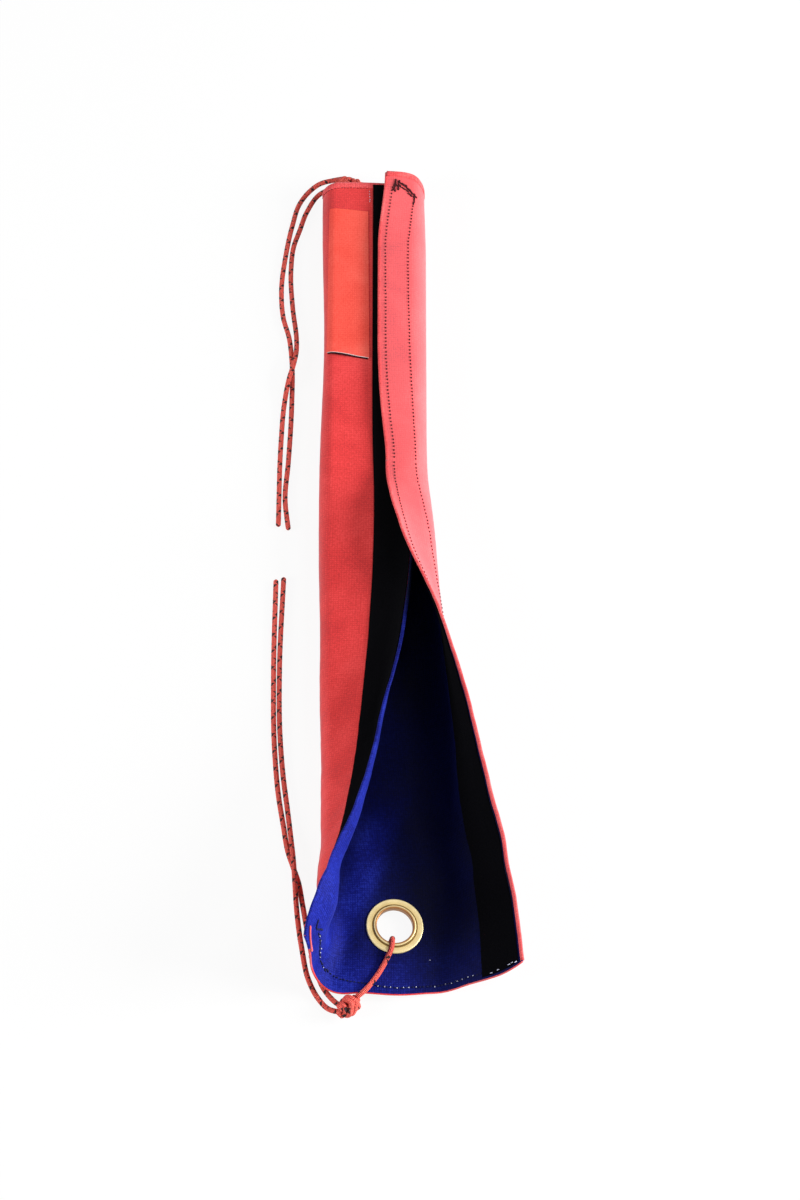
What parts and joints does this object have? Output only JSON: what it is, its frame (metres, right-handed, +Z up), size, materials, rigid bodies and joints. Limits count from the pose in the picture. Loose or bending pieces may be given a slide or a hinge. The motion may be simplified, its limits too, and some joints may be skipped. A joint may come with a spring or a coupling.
{
  "type": "rope protector sleeve",
  "caption": "Lined fabric sleeve that wraps round a rope to guard it from edges, with a hook and loop flap, brass eyelets and knotted accessory cords.",
  "frame": {"origin": "on the ground under the middle of the sleeve's outline, cords left out", "axes": "X across the sleeve, +Y along the rope from the flared hem to the closed end, +Z up from the back that it lies on"},
  "size_m": [0.1892, 0.7372, 0.071],
  "materials": {
    "shell": "woven fabric with a smooth coating, semi-gloss",
    "lining": "smooth woven lining, satin",
    "strip": "hook and loop tape, matt pile",
    "label": "sewn woven label, satin",
    "brass": "polished",
    "cord": "braided sheath with dark tracer flecks"
  },
  "bodies": {
    "sleeve": {"shell_hem": "shell", "shell_flare": "shell", "shell_mouth": "shell", "shell_channel": "shell", "shell_end": "shell", "lining": "lining", "hook_strip": "strip", "loop_strip": "strip", "label": "label", "lower_eyelet": "brass", "lower_eyelet_washer": "brass", "upper_eyelet": "brass", "upper_eyelet_washer": "brass", "lower_cord_loop": "cord", "lower_knot": "cord", "lower_cord_tail_left": "cord", "lower_cord_tail_right": "cord", "upper_cord_loop": "cord", "upper_knot": "cord", "upper_cord_tail_left": "cord", "upper_cord_tail_right": "cord"},
    "closure_flap": {"flap_shell": "shell", "flap_lining": "lining", "flap_hook_strip": "strip"}
  },
  "joints": [
    {"name": "closure_flap_peel", "type": "hinge", "parent": "sleeve", "child": "closure_flap", "pos_m": [0.0058, 0.2163, 0.02292], "axis": [0, 1, 0], "range_deg": [0, 150]}
  ]
}
